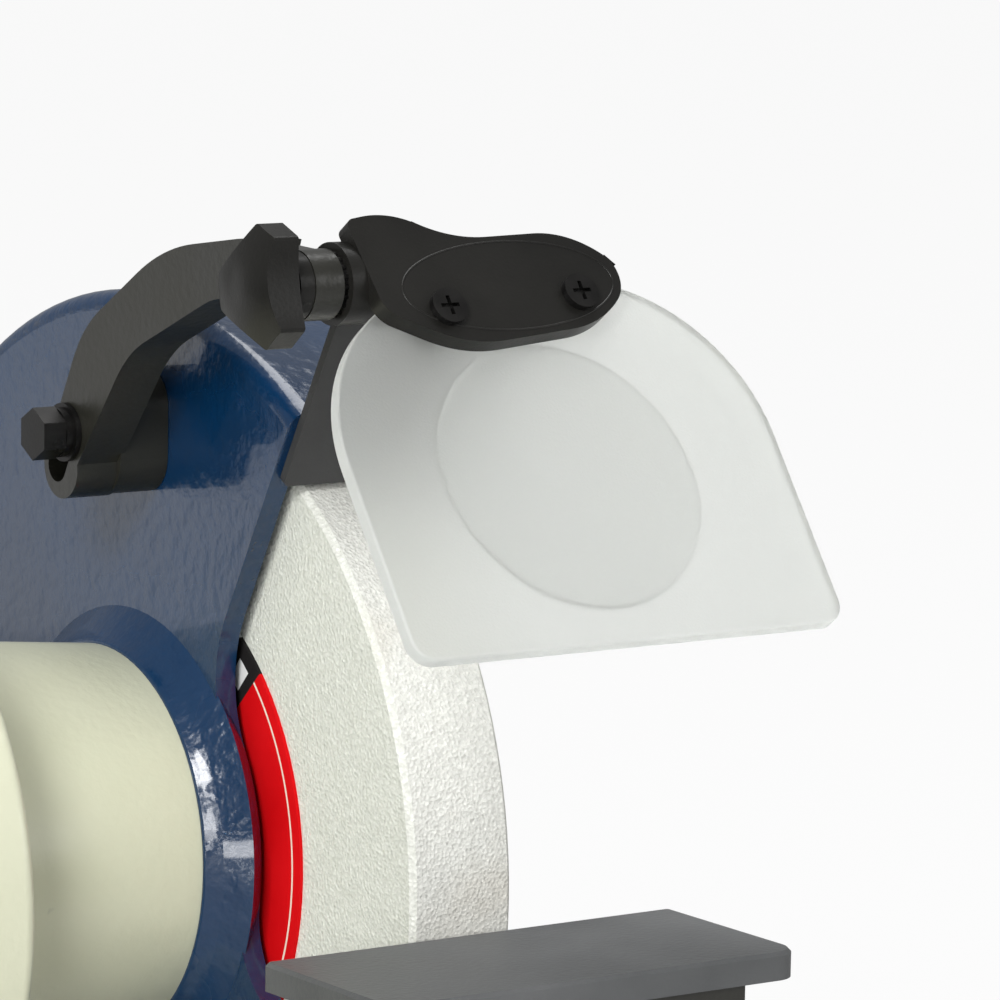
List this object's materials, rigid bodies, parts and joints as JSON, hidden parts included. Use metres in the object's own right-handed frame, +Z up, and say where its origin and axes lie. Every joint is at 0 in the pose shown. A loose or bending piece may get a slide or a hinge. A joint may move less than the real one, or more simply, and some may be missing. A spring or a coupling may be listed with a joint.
{
  "type": "bench grinder",
  "caption": "Bench grinder with a wheel at each shaft end, cast guards, spark arresters, tool rests and magnifying eye shields on arched brackets, on a footed pedestal base.",
  "frame": {"origin": "centre of the four mounting bolts, on the surface the rubber feet stand on", "axes": "+X along the shaft to the operator's right, -Y towards the operator, +Z up"},
  "size_m": [0.472, 0.2801, 0.3071],
  "materials": {
    "guard_enamel": "glossy navy enamel on a casting",
    "motor_enamel": "semi-gloss cream enamel with a fine orange peel",
    "bracket_enamel": "satin olive-black enamel",
    "abrasive": "matt white vitrified abrasive",
    "label_paper": "red printed blotter paper",
    "steel": "turned and ground steel",
    "zinc_screws": "zinc-plated steel",
    "black_screws": "black oxide steel",
    "arrester_plate": "matt dark grey plate",
    "rest_iron": "textured mid-grey",
    "black_plastic": "satin black moulding",
    "rocker_plastic": "glossy red",
    "shield_plastic": "frosted clear plastic sheet",
    "lens_plastic": "clear magnifying lens",
    "rubber": "black rubber",
    "copper": "varnished copper windings",
    "lamination": "electrical steel",
    "capacitor_case": "drawn can"
  },
  "bodies": {
    "stand": {"base_casting": "motor_enamel", "base_plate": "steel", "base_plate_screws": "zinc_screws", "rubber_feet": "rubber", "motor_shell": "motor_enamel", "end_bell_left": "motor_enamel", "end_bell_right": "motor_enamel", "stator_core": "lamination", "stator_windings": "copper", "bearing_left": "steel", "bearing_right": "steel", "through_bolts": "zinc_screws", "start_capacitor": "capacitor_case", "switch_housing": "black_plastic", "switch_plate_screws": "zinc_screws", "cord_gland": "black_plastic", "guard_left": "guard_enamel", "guard_right": "guard_enamel", "guard_cover_left": "guard_enamel", "guard_cover_right": "guard_enamel", "guard_cover_screws": "zinc_screws", "guard_mount_screws": "black_screws", "bracket_bolts": "zinc_screws", "bracket_washers": "zinc_screws", "arrester_screws": "zinc_screws", "rest_pivot_bolts": "zinc_screws"},
    "rotor": {"arbor_shaft": "steel", "rotor_core": "lamination", "inner_flanges": "steel", "grinding_wheel_left": "abrasive", "grinding_wheel_right": "abrasive", "wheel_labels": "label_paper", "outer_flanges": "steel", "arbor_nuts": "zinc_screws"},
    "rocker": {"switch_rocker": "rocker_plastic"},
    "bracket_left": {"shield_bracket_left": "bracket_enamel"},
    "knob_left": {"shield_knob_left": "black_plastic", "knob_stud_left": "zinc_screws"},
    "shield_left": {"shield_holder_left": "black_plastic", "clutch_ring_left": "black_screws", "eye_shield_left": "shield_plastic", "magnifier_lens_left": "lens_plastic", "holder_screws_left": "black_screws"},
    "arrester_left": {"spark_arrester_left": "arrester_plate"},
    "rest_bracket_left": {"tool_rest_bracket_left": "bracket_enamel"},
    "rest_left": {"tool_rest_left": "rest_iron"},
    "rest_knob_left": {"tool_rest_knob_left": "black_plastic"},
    "bracket_right": {"shield_bracket_right": "bracket_enamel"},
    "knob_right": {"shield_knob_right": "black_plastic", "knob_stud_right": "zinc_screws"},
    "shield_right": {"shield_holder_right": "black_plastic", "clutch_ring_right": "black_screws", "eye_shield_right": "shield_plastic", "magnifier_lens_right": "lens_plastic", "holder_screws_right": "black_screws"},
    "arrester_right": {"spark_arrester_right": "arrester_plate"},
    "rest_bracket_right": {"tool_rest_bracket_right": "bracket_enamel"},
    "rest_right": {"tool_rest_right": "rest_iron"},
    "rest_knob_right": {"tool_rest_knob_right": "black_plastic"}
  },
  "joints": [
    {"name": "arbor_spin", "type": "hinge", "parent": "stand", "child": "rotor", "pos_m": [0, 0, 0.16], "axis": [1, 0, 0], "continuous": true},
    {"name": "rocker_tilt", "type": "hinge", "parent": "stand", "child": "rocker", "pos_m": [0, -0.06277, 0.058], "axis": [1, 0, 0], "range_deg": [0, 18]},
    {"name": "bracket_slide_left", "type": "slide", "parent": "stand", "child": "bracket_left", "axis": [0, -0.4802, 0.8771], "range_m": [-0.0023, 0.0085]},
    {"name": "knob_turn_left", "type": "hinge", "parent": "bracket_left", "child": "knob_left", "pos_m": [-0.128, -0.1038, 0.2934], "axis": [1, 0, 0], "range_deg": [0, 360]},
    {"name": "shield_tilt_left", "type": "hinge", "parent": "bracket_left", "child": "shield_left", "pos_m": [-0.168, -0.1038, 0.2934], "axis": [1, 0, 0], "range_deg": [-70, 31]},
    {"name": "arrester_slide_left", "type": "slide", "parent": "stand", "child": "arrester_left", "axis": [0, -0.4802, 0.8771], "range_m": [-0.001, 0.012]},
    {"name": "rest_bracket_tilt_left", "type": "hinge", "parent": "stand", "child": "rest_bracket_left", "pos_m": [-0.157, -0.075, 0.085], "axis": [1, 0, 0], "range_deg": [-1, 25]},
    {"name": "rest_slide_left", "type": "slide", "parent": "rest_bracket_left", "child": "rest_left", "axis": [0, 1, 0], "range_m": [-0.015, 0.0012]},
    {"name": "rest_knob_turn_left", "type": "hinge", "parent": "rest_left", "child": "rest_knob_left", "pos_m": [-0.189, -0.128, 0.143], "axis": [0, 0, 1], "range_deg": [0, 360]},
    {"name": "bracket_slide_right", "type": "slide", "parent": "stand", "child": "bracket_right", "axis": [0, -0.4802, 0.8771], "range_m": [-0.0023, 0.0085]},
    {"name": "knob_turn_right", "type": "hinge", "parent": "bracket_right", "child": "knob_right", "pos_m": [0.128, -0.1038, 0.2934], "axis": [1, 0, 0], "range_deg": [0, 360]},
    {"name": "shield_tilt_right", "type": "hinge", "parent": "bracket_right", "child": "shield_right", "pos_m": [0.168, -0.1038, 0.2934], "axis": [1, 0, 0], "range_deg": [-70, 31]},
    {"name": "arrester_slide_right", "type": "slide", "parent": "stand", "child": "arrester_right", "axis": [0, -0.4802, 0.8771], "range_m": [-0.001, 0.012]},
    {"name": "rest_bracket_tilt_right", "type": "hinge", "parent": "stand", "child": "rest_bracket_right", "pos_m": [0.157, -0.075, 0.085], "axis": [1, 0, 0], "range_deg": [-1, 25]},
    {"name": "rest_slide_right", "type": "slide", "parent": "rest_bracket_right", "child": "rest_right", "axis": [0, 1, 0], "range_m": [-0.015, 0.0012]},
    {"name": "rest_knob_turn_right", "type": "hinge", "parent": "rest_right", "child": "rest_knob_right", "pos_m": [0.189, -0.128, 0.143], "axis": [0, 0, 1], "range_deg": [0, 360]}
  ]
}
